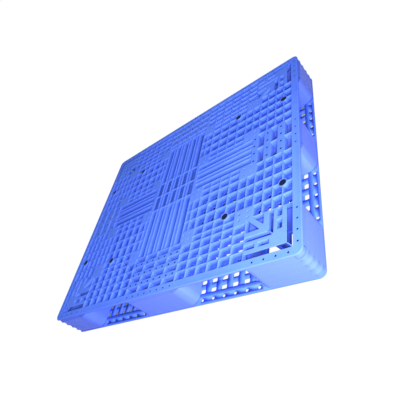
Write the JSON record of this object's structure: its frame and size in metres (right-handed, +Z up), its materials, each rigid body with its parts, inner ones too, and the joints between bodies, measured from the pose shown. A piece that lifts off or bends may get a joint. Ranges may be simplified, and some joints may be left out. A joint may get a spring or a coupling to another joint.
{
  "type": "plastic pallet",
  "caption": "Double-faced plastic pallet: two pierced grid decks joined by nine hollow blocks, with four-way fork entry and flush round anti-slip plugs.",
  "frame": {"origin": "middle of the underside, on the ground plane", "axes": "+X along the long side, +Y along the short side, +Z up through the decks"},
  "size_m": [1.3, 1.1, 0.15],
  "materials": {
    "deck_plastic": "moulded blue polyethylene, satin, faintly mottled, with worn rib tops",
    "block_plastic": "moulded blue polyethylene, satin, with a soft sheen on the rounded edges",
    "plug_rubber": "dark matt rubber, its face slightly dished inside a raised ring"
  },
  "bodies": {
    "root": {"top_deck": "deck_plastic", "bottom_deck": "deck_plastic", "corner_block_front_left": "block_plastic", "corner_block_front_right": "block_plastic", "corner_block_rear_left": "block_plastic", "corner_block_rear_right": "block_plastic", "side_block_front": "block_plastic", "side_block_rear": "block_plastic", "end_block_left": "block_plastic", "end_block_right": "block_plastic", "centre_block": "block_plastic", "plug_1": "plug_rubber", "plug_2": "plug_rubber", "plug_3": "plug_rubber", "plug_4": "plug_rubber", "plug_5": "plug_rubber", "plug_6": "plug_rubber", "plug_7": "plug_rubber", "plug_8": "plug_rubber"}
  },
  "joints": []
}
